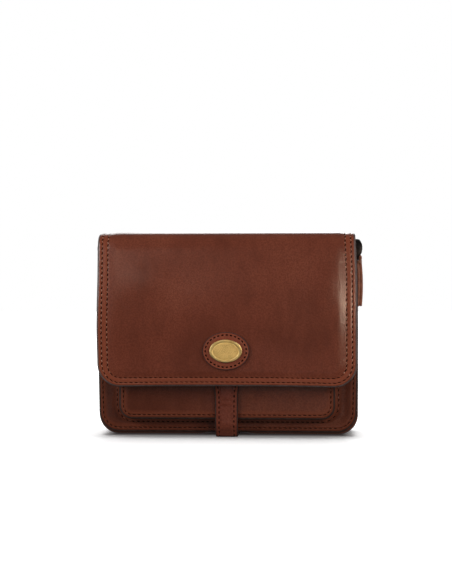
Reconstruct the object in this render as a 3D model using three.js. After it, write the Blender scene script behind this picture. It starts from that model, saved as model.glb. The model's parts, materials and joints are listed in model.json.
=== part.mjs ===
// A small leather shoulder bag that stands on its base: a gusseted body, a box pocket on its front,
// a flap that folds over both, a closing tab with a snap behind an oval badge, and two strap rings.
// Millimetres, +Z up. The front faces -Y. Heights are above the surface that the bag stands on.
import * as THREE from "three";

// Leather thicknesses and the gap that every sewn or resting pair keeps
const PANEL_THICKNESS = 1.6;
const GUSSET_THICKNESS = 1.4;
const POCKET_GUSSET_THICKNESS = 1.2;
const FLAP_THICKNESS = 2.6;
const TAB_THICKNESS = 2.4;
const PATCH_THICKNESS = 1.8;
const STRAP_LAYER = 2.4;
const SEAM_GAP = 0.3;

// Body: y = 0 is half way between the outside faces of the front and back panels
const BODY_DEPTH = 60;
const BODY = { halfWidth: 110.9, bottom: 3, top: 160, corner: 17, bow: 1.5, middle: 85 };
const BACK_TOP = 158;
const GUSSET_TOP = 152;
const GUSSET_FLANGE = 9;

// How far the gusset stands out past the panels' edges, by height
const GUSSET_BULGE = [
  { height: 3, bulge: 3 },
  { height: 8, bulge: 2.9 },
  { height: 20, bulge: 1 },
  { height: 60, bulge: 0.4 },
  { height: 90, bulge: 0 },
  { height: 104, bulge: -0.9 },
  { height: 112, bulge: -1.1 },
  { height: 128, bulge: -0.5 },
  { height: 144, bulge: -3.6 },
  { height: 152, bulge: -3.6 },
];
// The same bulge across the depth: none at the seams, whole over the flat middle
const GUSSET_CROSSING = [
  { across: 0, share: 0 },
  { across: 0.05, share: 0.55 },
  { across: 0.12, share: 0.9 },
  { across: 0.2, share: 1 },
  { across: 0.8, share: 1 },
  { across: 0.88, share: 0.9 },
  { across: 0.95, share: 0.55 },
  { across: 1, share: 0 },
];

// Box pocket on the front panel
const POCKET_DEPTH = 12.5;
const POCKET = { halfWidth: 91.3, bottom: 15, top: 110, corner: 11.4, bow: 0, middle: 60 };
const POCKET_BASE_FLANGE = 5.5;
const POCKET_FRONT_FLANGE = 8;

// Flap: corners of its outside face in side view, from the seam on the back to the front edge
const FLAP_WIDTH = 219.6;
const FLAP_CORNER = 17;
const FLAP_BACK_CORNER = 9;
const FLAP_CROWN = { height: 1.2, start: 0.5, full: 0.75, fade: 0.8, end: 1 }; // shares of its length
const FLAP_PROFILE = [
  { y: BODY_DEPTH / 2 + SEAM_GAP + FLAP_THICKNESS, z: 126, radius: 0 },
  { y: BODY_DEPTH / 2 + SEAM_GAP + FLAP_THICKNESS, z: 171.6, radius: 12 },
  { y: -36.7, z: 172.6, radius: 13 },
  { y: -49.2, z: 110, radius: 120 },
  { y: -53.9, z: 42.5, radius: 0 },
];

// Oval badge on the flap: leather patch, metal plaque
const BADGE_HEIGHT = 72.8;
const PATCH = { halfWidth: 19.65, halfHeight: 15.85 };
const PLAQUE = { halfWidth: 13.6, halfHeight: 9.45, thickness: 2 };
const PLAQUE_PROFILE = [
  { radius: 0, height: 0 },
  { radius: 1, height: 0 },
  { radius: 1, height: 0.65 },
  { radius: 0.955, height: 1 },
  { radius: 0.86, height: 1 },
  { radius: 0.81, height: 0.6 },
  { radius: 0, height: 0.6 },
];

// Closing tab: from a wide head behind the flap, down over the pocket, slanting back and under the base
const TAB_HEAD_TOP = 89;
const TAB_SLANT = { start: 9, depth: 4.5, bend: 14 };
const TAB_BEND = 4;
const TAB_CLEARANCE = 0.5;
const TAB_REAR_END = 12;
const TAB_OUTLINE = [
  { along: 0, halfWidth: 4 },
  { along: 1, halfWidth: 8.2 },
  { along: 3, halfWidth: 12.2 },
  { along: 6, halfWidth: 15.5 },
  { along: 10, halfWidth: 18.2 },
  { along: 16, halfWidth: 19.6 },
  { along: 22, halfWidth: 18.2 },
  { along: 29, halfWidth: 15.4 },
  { along: 37, halfWidth: 12.9 },
  { along: 46, halfWidth: 10.8 },
  { along: 54, halfWidth: 9.6 },
  { along: 60, halfWidth: 9.5 },
];
const TAB_HALF_WIDTH = 9.5;
const TAB_DENT_MARGIN = 1;
const TAB_DENT_RAMP = 14;
const SNAP_RADIUS = 8;

// Strap rings: each hangs by its straight bar in a folded leather loop sewn to the gusset
const LOOP_WIDTH = 17;
const LOOP_DEPTH_OFFSET = 4;
const LOOP_BOTTOM = 110;
const LOOP_WRAP = THREE.MathUtils.degToRad(258);
const LOOP_BOW = { inside: 1.1, outside: 1.05 };
const RING_BAR_HEIGHT = 151.5;
const RING_WIRE_RADIUS = 1.5;
const RING_CLEARANCE = 0.3;
const RING = { halfWidth: 11.6, height: 15.6, corner: 3 };
const RING_LEAN = THREE.MathUtils.degToRad(2);
// Half width of the ring across its own plane, by height above its bar
const RING_BREADTH = [
  { height: 0, breadth: 1.5 },
  { height: 1.6, breadth: 1.5 },
  { height: 3, breadth: 2.9 },
  { height: 4.5, breadth: 3.8 },
  { height: 7.5, breadth: 4.5 },
  { height: 10, breadth: 4.7 },
  { height: 12.5, breadth: 4.4 },
  { height: 15.6, breadth: 3.3 },
  { height: 17.1, breadth: 2.9 },
];

// Facets
const SIDE_STEPS = 14;
const CORNER_STEPS = 7;
const PANEL_COLUMNS = 8;
const FLAP_COLUMNS = 16;
const FLAP_STEP = 14;
const BEND_STEP = 4;
const ROW_SPACE = 1;
const SEARCH_STEP = 0.05;
const PATCH_STEPS = 12;
const TAB_COLUMNS = 4;
const RING_STEPS = 48;
const RING_SIDES = 8;
const ROUND_SIDES = 32;

// Levels across the depth, front to back
const FRONT_FACE = -BODY_DEPTH / 2;
const BACK_FACE = BODY_DEPTH / 2;
const POCKET_FACE = FRONT_FACE - POCKET_DEPTH;
const TAB_FACE = POCKET_FACE - TAB_CLEARANCE - TAB_THICKNESS;

const leather = (color) => new THREE.MeshStandardMaterial({ color, roughness: 0.42, metalness: 0 });
const BODY_LEATHER = leather(0x5e3022);
const FLAP_LEATHER = leather(0x633426);
const TRIM_LEATHER = leather(0x66372a);
const GOLD = new THREE.MeshStandardMaterial({ color: 0xc4a35c, roughness: 0.32, metalness: 1 });
const DARK_METAL = new THREE.MeshStandardMaterial({ color: 0x2b2422, roughness: 0.35, metalness: 1 });
const STEEL = new THREE.MeshStandardMaterial({ color: 0xa9a49a, roughness: 0.4, metalness: 1 });

// The value of one column of a table at a place given by another column, straight between rows.
function lookUp(table, key, value, at) {
  const after = table.findIndex((row) => row[key] >= at);
  if (after === 0) return table[0][value];
  if (after < 0) return table[table.length - 1][value];
  const [low, high] = [table[after - 1], table[after]];
  return THREE.MathUtils.mapLinear(at, low[key], high[key], low[value], high[value]);
}

// A closed geometry with its faces turned outwards.
function closedGeometry(points, triangles) {
  const volume = triangles.reduce((sum, [a, b, c]) => {
    const cross = new THREE.Vector3().crossVectors(points[b], points[c]);
    return sum + points[a].dot(cross);
  }, 0);
  const faces = volume < 0 ? triangles.map(([a, b, c]) => [a, c, b]) : triangles;
  const geometry = new THREE.BufferGeometry().setFromPoints(points);
  geometry.setIndex(faces.flat());
  geometry.computeVertexNormals();
  return geometry;
}

// A wall of even thickness behind a grid of points on its outside face.
function wallGeometry(rows, thickness) {
  const height = rows.length;
  const width = rows[0].length;
  const clamp = (value, count) => Math.min(Math.max(value, 0), count - 1);
  const point = (i, j) => rows[clamp(i, height)][clamp(j, width)];
  const inside = rows.map((row, i) =>
    row.map((corner, j) => {
      const along = new THREE.Vector3().subVectors(point(i + 1, j), point(i - 1, j));
      const across = new THREE.Vector3().subVectors(point(i, j + 1), point(i, j - 1));
      const normal = along.cross(across).normalize();
      return corner.clone().addScaledVector(normal, -thickness);
    }),
  );
  const points = [...rows.flat(), ...inside.flat()];
  const outer = (i, j) => i * width + j;
  const inner = (i, j) => height * width + outer(i, j);
  const triangles = [];
  const quad = (a, b, c, d) => triangles.push([a, b, c], [a, c, d]);
  for (let i = 0; i < height - 1; i++) {
    for (let j = 0; j < width - 1; j++) {
      quad(outer(i, j), outer(i + 1, j), outer(i + 1, j + 1), outer(i, j + 1));
      quad(inner(i, j), inner(i, j + 1), inner(i + 1, j + 1), inner(i + 1, j));
    }
    quad(outer(i, 0), inner(i, 0), inner(i + 1, 0), outer(i + 1, 0));
    quad(outer(i, width - 1), outer(i + 1, width - 1), inner(i + 1, width - 1), inner(i, width - 1));
  }
  for (let j = 0; j < width - 1; j++) {
    quad(outer(0, j), outer(0, j + 1), inner(0, j + 1), inner(0, j));
    quad(outer(height - 1, j), inner(height - 1, j), inner(height - 1, j + 1), outer(height - 1, j + 1));
  }
  return closedGeometry(points, triangles);
}

// A row of points across x, from -half to half, placed by a function of x.
function acrossRow(half, columns, place) {
  return Array.from({ length: columns + 1 }, (_, j) => place(half * ((2 * j) / columns - 1)));
}

// Half width of a panel outline at a height on its straight side, with the sides bowed out a little.
function sideX(outline, height) {
  const lean = (height - outline.middle) / outline.middle;
  return outline.halfWidth - outline.bow * lean * lean;
}

// The right half of a panel outline from its top down the side and round the lower corner.
function halfOutline(outline) {
  const cornerTop = outline.bottom + outline.corner;
  const points = [];
  for (let i = 0; i < SIDE_STEPS; i++) {
    const z = THREE.MathUtils.lerp(outline.top, cornerTop, i / SIDE_STEPS);
    points.push({ x: sideX(outline, z), z });
  }
  for (let i = 0; i <= CORNER_STEPS; i++) {
    const angle = (Math.PI / 2) * (i / CORNER_STEPS);
    const z = cornerTop - outline.corner * Math.sin(angle);
    points.push({ x: sideX(outline, z) - outline.corner * (1 - Math.cos(angle)), z });
  }
  return points;
}

// A flat panel with round lower corners. Facing is -1 for one whose outside faces the front.
function panelGeometry(outline, face, facing) {
  const rows = halfOutline(outline).map(({ x, z }) =>
    acrossRow(-facing * x, PANEL_COLUMNS, (across) => new THREE.Vector3(across, face, z)),
  );
  return wallGeometry(rows, PANEL_THICKNESS);
}

// The whole outline as a path down the left side, along the base and up the right, with outward normals.
function outlinePath(outline, baseStations) {
  const right = halfOutline(outline);
  const left = right.map(({ x, z }) => ({ x: -x, z }));
  const base = baseStations.map((x) => ({ x, z: outline.bottom }));
  const path = [...left, ...base, ...right.reverse()];
  return path.map((here, i) => {
    const before = path[Math.max(i - 1, 0)];
    const after = path[Math.min(i + 1, path.length - 1)];
    const length = Math.hypot(after.x - before.x, after.z - before.z);
    return { ...here, nx: (after.z - before.z) / length, nz: -(after.x - before.x) / length };
  });
}

// A strip bent along a path in the plane of the panels. Its section is a counterclockwise loop of
// points, each so far out from the path and so far back.
function stripGeometry(path, sectionAt) {
  const sections = path.map((station) => sectionAt(station));
  const size = sections[0].length;
  const points = path.flatMap(({ x, z, nx, nz }, i) =>
    sections[i].map(({ out, y }) => new THREE.Vector3(x + out * nx, y, z + out * nz)),
  );
  const triangles = [];
  for (let i = 0; i < path.length - 1; i++) {
    for (let k = 0; k < size; k++) {
      const next = (k + 1) % size;
      const [a, b, c, d] = [i * size + k, (i + 1) * size + k, (i + 1) * size + next, i * size + next];
      triangles.push([a, b, c], [a, c, d]);
    }
  }
  const capOf = (section) => {
    const loop = section.map(({ out, y }) => new THREE.Vector2(out, y));
    return THREE.ShapeUtils.triangulateShape(loop, []);
  };
  const last = path.length - 1;
  triangles.push(...capOf(sections[0]));
  for (const [a, b, c] of capOf(sections[last])) {
    triangles.push([a + last * size, c + last * size, b + last * size]);
  }
  return closedGeometry(points, triangles);
}

// A line of straight stretches and round corners in side view. Its x is the depth and its y the height.
function roundedProfile(corners) {
  const profile = new THREE.Path();
  const at = (corner) => new THREE.Vector2(corner.y, corner.z);
  profile.moveTo(corners[0].y, corners[0].z);
  for (let i = 1; i < corners.length - 1; i++) {
    const here = at(corners[i]);
    const back = at(corners[i - 1]).sub(here).normalize();
    const ahead = at(corners[i + 1]).sub(here).normalize();
    const half = Math.acos(back.dot(ahead)) / 2;
    const start = here.clone().addScaledVector(back, corners[i].radius / Math.tan(half));
    const end = here.clone().addScaledVector(ahead, corners[i].radius / Math.tan(half));
    const bisector = back.clone().add(ahead).normalize();
    const centre = here.clone().addScaledVector(bisector, corners[i].radius / Math.sin(half));
    const clockwise = back.cross(ahead) > 0;
    profile.lineTo(start.x, start.y);
    profile.absarc(
      centre.x,
      centre.y,
      corners[i].radius,
      start.clone().sub(centre).angle(),
      end.clone().sub(centre).angle(),
      clockwise,
    );
  }
  const last = corners[corners.length - 1];
  profile.lineTo(last.y, last.z);
  return profile;
}

// A point so far along a profile, with its outward normal in side view.
function profileStation(profile, along) {
  const share = THREE.MathUtils.clamp(along / profile.getLength(), 0, 1);
  const place = profile.getPoint(share);
  const tangent = profile.getTangent(share);
  return { y: place.x, z: place.y, ny: tangent.y, nz: -tangent.x };
}

// The places along a profile where its shape needs a row: close in the bends, wide on the straights.
function profileRows(profile, straightStep) {
  const places = [0];
  let start = 0;
  for (const curve of profile.curves) {
    const length = curve.getLength();
    const bent = curve.isEllipseCurve && curve.xRadius < straightStep * 2;
    const steps = Math.max(1, Math.ceil(length / (bent ? BEND_STEP : straightStep)));
    for (let i = 1; i <= steps; i++) places.push(start + (length * i) / steps);
    start += length;
  }
  return places;
}

// Front and back panels and the gusset between them.
function bodyGeometries() {
  const back = { ...BODY, top: BACK_TOP };
  const dentStart = TAB_HALF_WIDTH + TAB_DENT_MARGIN;
  const dentEnd = dentStart + TAB_DENT_RAMP;
  const dentMiddle = (dentStart + dentEnd) / 2;
  const rest = (BODY.halfWidth + dentEnd) / 2;
  const stations = [-rest, -dentEnd, -dentMiddle, -dentStart, dentStart, dentMiddle, dentEnd, rest];
  const front = FRONT_FACE + PANEL_THICKNESS + SEAM_GAP;
  const rear = -front;
  const flush = BODY.bottom - TAB_THICKNESS - SEAM_GAP;
  const section = ({ x, z }) => {
    const free = THREE.MathUtils.smoothstep(Math.abs(x), dentStart, dentEnd);
    const bulge = lookUp(GUSSET_BULGE, "height", "bulge", z);
    const peak = z > BODY.bottom ? bulge : THREE.MathUtils.lerp(flush, bulge, free);
    const wall = GUSSET_CROSSING.map(({ across, share }) => ({
      out: peak * share,
      y: THREE.MathUtils.lerp(front, rear, across),
    }));
    const inside = GUSSET_CROSSING.map(({ across, share }) => ({
      out: peak * share - GUSSET_THICKNESS,
      y: THREE.MathUtils.lerp(front + GUSSET_THICKNESS, rear - GUSSET_THICKNESS, across),
    }));
    return [
      { out: -GUSSET_FLANGE, y: front },
      ...wall,
      { out: -GUSSET_FLANGE, y: rear },
      { out: -GUSSET_FLANGE, y: rear - GUSSET_THICKNESS },
      ...inside.reverse(),
      { out: -GUSSET_FLANGE, y: front + GUSSET_THICKNESS },
    ];
  };
  return {
    front_panel: panelGeometry(BODY, FRONT_FACE, -1),
    back_panel: panelGeometry(back, BACK_FACE, 1),
    gusset: stripGeometry(outlinePath({ ...BODY, top: GUSSET_TOP }, stations), section),
  };
}

// Box pocket: a front and a strip whose base flange turns out on to the front panel.
function pocketGeometries() {
  const base = FRONT_FACE - SEAM_GAP;
  const front = POCKET_FACE + PANEL_THICKNESS + SEAM_GAP;
  const thick = POCKET_GUSSET_THICKNESS;
  const section = [
    { out: POCKET_BASE_FLANGE, y: base },
    { out: -thick, y: base },
    { out: -thick, y: front + thick },
    { out: -POCKET_FRONT_FLANGE, y: front + thick },
    { out: -POCKET_FRONT_FLANGE, y: front },
    { out: 0, y: front },
    { out: 0, y: base - thick },
    { out: POCKET_BASE_FLANGE, y: base - thick },
  ];
  return {
    pocket_front: panelGeometry(POCKET, POCKET_FACE, -1),
    pocket_gusset: stripGeometry(outlinePath(POCKET, [0]), () => section),
  };
}

const flapProfile = roundedProfile(FLAP_PROFILE);
const flapLength = flapProfile.getLength();

// A point of the flap's outside face, so far across and so far along, raised by a given height.
function flapPoint(across, along, raised = 0) {
  const { y, z, ny, nz } = profileStation(flapProfile, along);
  const { start, full, fade, end, height } = FLAP_CROWN;
  const share = along / flapLength;
  const rise = THREE.MathUtils.smoothstep(share, start, full);
  const fall = THREE.MathUtils.smoothstep(share, fade, end);
  const crown = height * (rise - fall) * (1 - ((2 * across) / FLAP_WIDTH) ** 2);
  return new THREE.Vector3(across, y + ny * (crown + raised), z + nz * (crown + raised));
}

// Half width of the flap so far along it: full, and drawn in by the round corners at its two ends.
function flapHalfWidth(along) {
  const drawn = (radius, toEnd) => {
    const short = Math.max(radius - toEnd, 0);
    return radius - Math.sqrt(radius * radius - short * short);
  };
  return FLAP_WIDTH / 2 - drawn(FLAP_CORNER, flapLength - along) - drawn(FLAP_BACK_CORNER, along);
}

// The flap, with rows close together where its corners turn.
function flapGeometry() {
  const turn = (radius) =>
    Array.from({ length: CORNER_STEPS + 1 }, (_, i) => {
      const angle = (Math.PI / 2) * (i / CORNER_STEPS);
      return radius * (1 - Math.sin(angle));
    });
  const near = turn(FLAP_BACK_CORNER);
  const far = turn(FLAP_CORNER).map((left) => flapLength - left);
  const middle = profileRows(flapProfile, FLAP_STEP).filter(
    (along) => along > FLAP_BACK_CORNER + ROW_SPACE && along < flapLength - FLAP_CORNER - ROW_SPACE,
  );
  const places = [...near.reverse(), ...middle, ...far];
  const rows = places.map((along) =>
    acrossRow(flapHalfWidth(along), FLAP_COLUMNS, (across) => flapPoint(across, along)),
  );
  return wallGeometry(rows, FLAP_THICKNESS);
}

// How far along the flap its front reaches a given height.
function flapAlong(height) {
  let along = flapLength;
  while (flapPoint(0, along).z < height) along -= SEARCH_STEP;
  return along;
}

const badgeAlong = flapAlong(BADGE_HEIGHT);

// Oval leather patch that follows the flap's face.
function patchGeometry() {
  const rows = Array.from({ length: PATCH_STEPS - 1 }, (_, i) => {
    const angle = Math.PI * ((i + 1) / PATCH_STEPS);
    const along = badgeAlong - PATCH.halfHeight * Math.cos(angle);
    const lift = SEAM_GAP + PATCH_THICKNESS;
    return acrossRow(PATCH.halfWidth * Math.sin(angle), PATCH_STEPS, (x) => flapPoint(x, along, lift));
  });
  return wallGeometry(rows, PATCH_THICKNESS);
}

// Oval plaque with a raised rim round a sunk field, its back on the patch.
function plaqueGeometry() {
  const profile = PLAQUE_PROFILE.map(({ radius, height }) => {
    return new THREE.Vector2(radius, height * PLAQUE.thickness);
  });
  const geometry = new THREE.LatheGeometry(profile, ROUND_SIDES);
  geometry.scale(PLAQUE.halfWidth, 1, PLAQUE.halfHeight);
  const above = flapPoint(0, badgeAlong - PLAQUE.halfHeight);
  const below = flapPoint(0, badgeAlong + PLAQUE.halfHeight);
  geometry.rotateX(Math.atan2(above.y - below.y, below.z - above.z));
  const seat = flapPoint(0, badgeAlong, 2 * SEAM_GAP + PATCH_THICKNESS);
  geometry.translate(seat.x, seat.y, seat.z);
  return geometry;
}

// Closing tab, with its outside face in front and underneath.
function tabGeometry() {
  const profile = roundedProfile([
    { y: TAB_FACE, z: TAB_HEAD_TOP, radius: 0 },
    { y: TAB_FACE, z: TAB_SLANT.start, radius: TAB_SLANT.bend },
    { y: TAB_FACE + TAB_SLANT.depth, z: 0, radius: TAB_BEND },
    { y: TAB_REAR_END, z: 0, radius: 0 },
  ]);
  const head = TAB_OUTLINE.map(({ along }) => along);
  const shaped = head[head.length - 1];
  const rest = profileRows(profile, FLAP_STEP).filter((along) => along > shaped + ROW_SPACE);
  const rows = [...head, ...rest].map((along) => {
    const { y, z } = profileStation(profile, along);
    const half = lookUp(TAB_OUTLINE, "along", "halfWidth", along);
    return acrossRow(half, TAB_COLUMNS, (across) => new THREE.Vector3(across, y, z));
  });
  return wallGeometry(rows, TAB_THICKNESS);
}

// Snap: one plain disc between the head of the tab and the flap.
function snapGeometry() {
  const flapBack = flapPoint(0, flapAlong(BADGE_HEIGHT + SNAP_RADIUS), -FLAP_THICKNESS);
  const front = flapBack.y + SEAM_GAP;
  const back = TAB_FACE - SEAM_GAP;
  const geometry = new THREE.CylinderGeometry(SNAP_RADIUS, SNAP_RADIUS, back - front, ROUND_SIDES);
  geometry.translate(0, (front + back) / 2, BADGE_HEIGHT);
  return geometry;
}

// Outside of the gusset's flat middle on the right, at a height.
function gussetX(height) {
  return sideX(BODY, height) + lookUp(GUSSET_BULGE, "height", "bulge", height);
}

const loopRadius = RING_WIRE_RADIUS + RING_CLEARANCE + STRAP_LAYER;
const barX = gussetX(RING_BAR_HEIGHT) + SEAM_GAP + loopRadius;

// Folded leather loop in front view: two layers sewn together from the foot to the pinch under the ring,
// bowed out from the gusset, then parted round the ring's bar. Side is 1 on the right and -1 on the left.
function loopGeometry(side) {
  const layers = 2 * STRAP_LAYER;
  const foot = gussetX(LOOP_BOTTOM) + SEAM_GAP;
  const outerTop = barX + loopRadius;
  const neckX = barX + loopRadius * Math.cos(LOOP_WRAP);
  const neckHeight = RING_BAR_HEIGHT + loopRadius * Math.sin(LOOP_WRAP);
  const insideBow = (foot + neckX) / 2 + 2 * LOOP_BOW.inside;
  const outsideBow = (foot + layers + outerTop) / 2 + 2 * LOOP_BOW.outside;
  const insideHalf = (LOOP_BOTTOM + neckHeight) / 2;
  const outsideHalf = (LOOP_BOTTOM + RING_BAR_HEIGHT) / 2;
  const shape = new THREE.Shape();
  const [overStart, overEnd] = side > 0 ? [LOOP_WRAP, 0] : [Math.PI - LOOP_WRAP, Math.PI];
  shape.moveTo(side * foot, LOOP_BOTTOM);
  shape.quadraticCurveTo(side * insideBow, insideHalf, side * neckX, neckHeight);
  shape.absarc(side * barX, RING_BAR_HEIGHT, loopRadius, overStart, overEnd, side > 0);
  shape.quadraticCurveTo(side * outsideBow, outsideHalf, side * (foot + layers), LOOP_BOTTOM);
  const bore = new THREE.Path();
  bore.absarc(side * barX, RING_BAR_HEIGHT, RING_WIRE_RADIUS + RING_CLEARANCE, 0, 2 * Math.PI);
  shape.holes.push(bore);
  const geometry = new THREE.ExtrudeGeometry(shape, {
    depth: LOOP_WIDTH,
    bevelEnabled: false,
    curveSegments: ROUND_SIDES / 2,
  });
  geometry.rotateX(Math.PI / 2);
  geometry.translate(0, LOOP_DEPTH_OFFSET + LOOP_WIDTH / 2, 0);
  return geometry;
}

// A closed outline stood upright across the depth.
class UprightCurve extends THREE.Curve {
  constructor(outline) {
    super();
    this.outline = outline;
  }
  getPoint(share) {
    const place = this.outline.getPoint(share % 1);
    return new THREE.Vector3(0, place.x, place.y);
  }
}

// D-shaped ring, broad at its sides: a straight bar along the depth at the origin and a round bow above it.
function ringGeometry() {
  const { halfWidth, height, corner } = RING;
  const outline = new THREE.Path();
  outline.moveTo(corner - halfWidth, 0);
  outline.lineTo(halfWidth - corner, 0);
  outline.absarc(halfWidth - corner, corner, corner, -Math.PI / 2, 0);
  outline.absellipse(0, corner, halfWidth, height - corner, 0, Math.PI);
  outline.absarc(corner - halfWidth, corner, corner, Math.PI, 1.5 * Math.PI);
  const curve = new UprightCurve(outline);
  const geometry = new THREE.TubeGeometry(curve, RING_STEPS, RING_WIRE_RADIUS, RING_SIDES, true);
  const place = geometry.attributes.position;
  for (let i = 0; i < place.count; i++) {
    const breadth = lookUp(RING_BREADTH, "height", "breadth", place.getZ(i));
    place.setX(i, (place.getX(i) * breadth) / RING_WIRE_RADIUS);
  }
  geometry.computeVertexNormals();
  return geometry;
}

// A ring in its loop, upright beside the flap and leaning in a little.
function ringMesh(name, side) {
  const ring = new THREE.Mesh(ringGeometry(), DARK_METAL);
  ring.name = name;
  ring.position.set(side * barX, LOOP_DEPTH_OFFSET, RING_BAR_HEIGHT);
  ring.rotation.y = -side * RING_LEAN;
  return ring;
}

const bag = new THREE.Group();

function addPiece(name, geometry, material) {
  const piece = new THREE.Mesh(geometry, material);
  piece.name = name;
  bag.add(piece);
}

for (const [name, geometry] of Object.entries({ ...bodyGeometries(), ...pocketGeometries() })) {
  addPiece(name, geometry, BODY_LEATHER);
}
addPiece("flap", flapGeometry(), FLAP_LEATHER);
addPiece("badge_patch", patchGeometry(), TRIM_LEATHER);
addPiece("badge_plaque", plaqueGeometry(), GOLD);
addPiece("closing_tab", tabGeometry(), TRIM_LEATHER);
addPiece("snap", snapGeometry(), STEEL);
addPiece("strap_loop_right", loopGeometry(1), TRIM_LEATHER);
addPiece("strap_loop_left", loopGeometry(-1), TRIM_LEATHER);
bag.add(ringMesh("ring_right", 1), ringMesh("ring_left", -1));

// The origin is on the ground under the middle of the whole bag, plaque to back of flap.
const plaqueFront = flapPoint(0, badgeAlong, 2 * SEAM_GAP + PATCH_THICKNESS + PLAQUE.thickness).y;
bag.position.y = -(plaqueFront + FLAP_PROFILE[0].y) / 2;

const root = new THREE.Group();
root.add(bag);

export default root;
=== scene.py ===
"""Looks of a small brown leather shoulder bag that stands on a pale floor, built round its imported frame."""

import json
import math

import bpy
import numpy as np
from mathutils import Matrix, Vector


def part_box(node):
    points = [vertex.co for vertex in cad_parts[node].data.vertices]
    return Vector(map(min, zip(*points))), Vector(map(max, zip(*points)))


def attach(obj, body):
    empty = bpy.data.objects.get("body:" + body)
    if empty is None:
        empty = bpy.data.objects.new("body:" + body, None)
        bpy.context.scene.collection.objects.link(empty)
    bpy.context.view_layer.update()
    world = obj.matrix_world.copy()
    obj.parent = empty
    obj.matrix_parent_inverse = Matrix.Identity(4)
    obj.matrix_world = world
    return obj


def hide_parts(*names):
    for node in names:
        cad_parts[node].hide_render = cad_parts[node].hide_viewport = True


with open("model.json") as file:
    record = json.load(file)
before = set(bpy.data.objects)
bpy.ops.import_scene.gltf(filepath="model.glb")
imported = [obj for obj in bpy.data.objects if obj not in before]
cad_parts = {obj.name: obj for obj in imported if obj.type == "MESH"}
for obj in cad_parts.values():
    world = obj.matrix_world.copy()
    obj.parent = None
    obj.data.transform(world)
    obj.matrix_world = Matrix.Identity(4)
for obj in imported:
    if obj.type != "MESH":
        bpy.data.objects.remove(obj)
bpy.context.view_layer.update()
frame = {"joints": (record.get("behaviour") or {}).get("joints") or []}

# Sizes are in millimetres until a mesh is made
MM = 0.001
rng = np.random.default_rng(7)

# Thickness of the leather of each piece
PANEL_LEATHER = 1.6
GUSSET_LEATHER = 1.4
STRIP_LEATHER = 1.2
FLAP_LEATHER = 2.6
TAB_LEATHER = 2.4
PATCH_LEATHER = 1.8
LOOP_LEATHER = 2.35

# How far in from its edge each piece has rings of points
PANEL_INSET, POCKET_INSET, FLAP_INSET = 13, 10, 20
PATCH_INSET, TAB_INSET, LOOP_INSET = 5.5, 5, 4
GUSSET_INSET, GUSSET_RINGS = 3, [2]
STRIP_INSET, STRIP_RINGS = 2.4, [1.8]

# Edges: how far they round in and are painted, and the angles of the rings round them
EDGE_ROUND, EDGE_PAINT = 1.15, 1.5
EDGE_ANGLES = (60, 30, 0, -30, -60)
PATCH_EDGE, TAB_EDGE, LOOP_EDGE = 0.3, 0.5, 0.35
SQUARE_CORNER, STRIP_CORNER = 1.5, 0.6

# Corners, bows and bulges of the body and pocket
BODY_CORNER = 17
BODY_BOW = 1.5
BODY_MIDDLE = 85
BACK_SWELL = {"rise": 1.6, "height": 65, "reach": 55}
POCKET_CORNER = 11.4
GUSSET_FLANGE = 9
FOLD_RADIUS = 1.6
POCKET_BASE_FLANGE = 5.5
POCKET_FRONT_FLANGE = 8
FLANGE_PARED = 0.93
BULGE_BY_HEIGHT = {
    3: 3, 8: 2.9, 20: 1, 60: 0.4, 90: 0, 104: -0.9, 112: -1.1, 128: -0.5, 144: -3.6, 152: -3.6,
}
BULGE_ACROSS = {0: 0, 0.05: 0.55, 0.12: 0.9, 0.2: 1, 0.8: 1, 0.88: 0.9, 0.95: 0.55, 1: 0}
BULGE_OVER_TAB = 0.3
TAB_DENT = (10.5, 24.5)

# Flap in side view: depth behind the front panel's face, height and radius of each corner
FLAP_FOLDS = [(-23.9, 42.5, 0), (-19.2, 110, 380), (-6.7, 172.6, 13), (62.9, 171.6, 12), (62.9, 126, 0)]
FLAP_EASE = 8
FLAP_CORNER, FLAP_BACK_CORNER = 20, 9
FLAP_LOW_SHARE = 0.82
# Crown of the flap's front, by the share of the way to its front edge
FLAP_CROWN, CROWN_REACH = 1.2, (0.5, 0.75, 0.8, 1)
# Flap's outline, by the distance up from its front edge: dip of that edge, taper and skew at the fold, and
# left side drawn in
FLAP_DIP, DIP_FADE = 1.2, (0, 60)
FLAP_TAPER, FLAP_SKEW, FOLD_REACH = 0.3, 1.0, (85, 135, 170, 210)
FLAP_DRAWN, DRAWN_FROM, DRAWN_FADE = 1.1, 40, (12, 55)
# Hollows and swellings of the flap: place across and up it, reach both ways, height
FLAP_SWELLS = [
    (-68, 90, 22, 17, 0.8),
    (-62, 66, 26, 20, -0.35),
    (-70, 103, 3.2, 2.6, -0.22),
    (30, 92, 45, 26, 0.4),
    (72, 60, 26, 30, -0.3),
    (86, 88, 12, 24, 0.45),
    (-20, 40, 40, 12, 0.25),
    (48, 24, 30, 12, -0.25),
    (-40, 160, 30, 14, -0.5),
    (45, 168, 34, 14, -0.4),
]
SWELL_MARGIN = (24, 12)

# Seams: distance in from the edge of each row, and stitch lengths
FLAP_ROWS = (4.2, 9.0)
PANEL_ROW = 3.8
POCKET_ROW = 3.7
FLANGE_ROW = 2.9
TAB_ROW = 3.2
PATCH_ROW = 2.5
LOOP_ROW = 2.6
STITCH, PATCH_STITCH, LOOP_STITCH = 4.25, 3.5, 3.6

# Threads: radius, slant, start and end as shares of a stitch, and unevenness
THREAD_RADIUS = 0.36
STITCH_SLANT = 0.3
STITCH_SPAN, STITCH_STATIONS = (0.26, 0.74), 7
ALONG_WANDER, SLANT_WANDER = 0.012, 0.05
# How far threads stand out or sink, as shares of their radius, and how little an upright row heads across
PROUD, SUNK = 0.3, -0.7
END_SINK, END_THINNING, LEVEL_SINK = 1.2, 0.4, 0.8
UPRIGHT = 0.7
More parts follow.
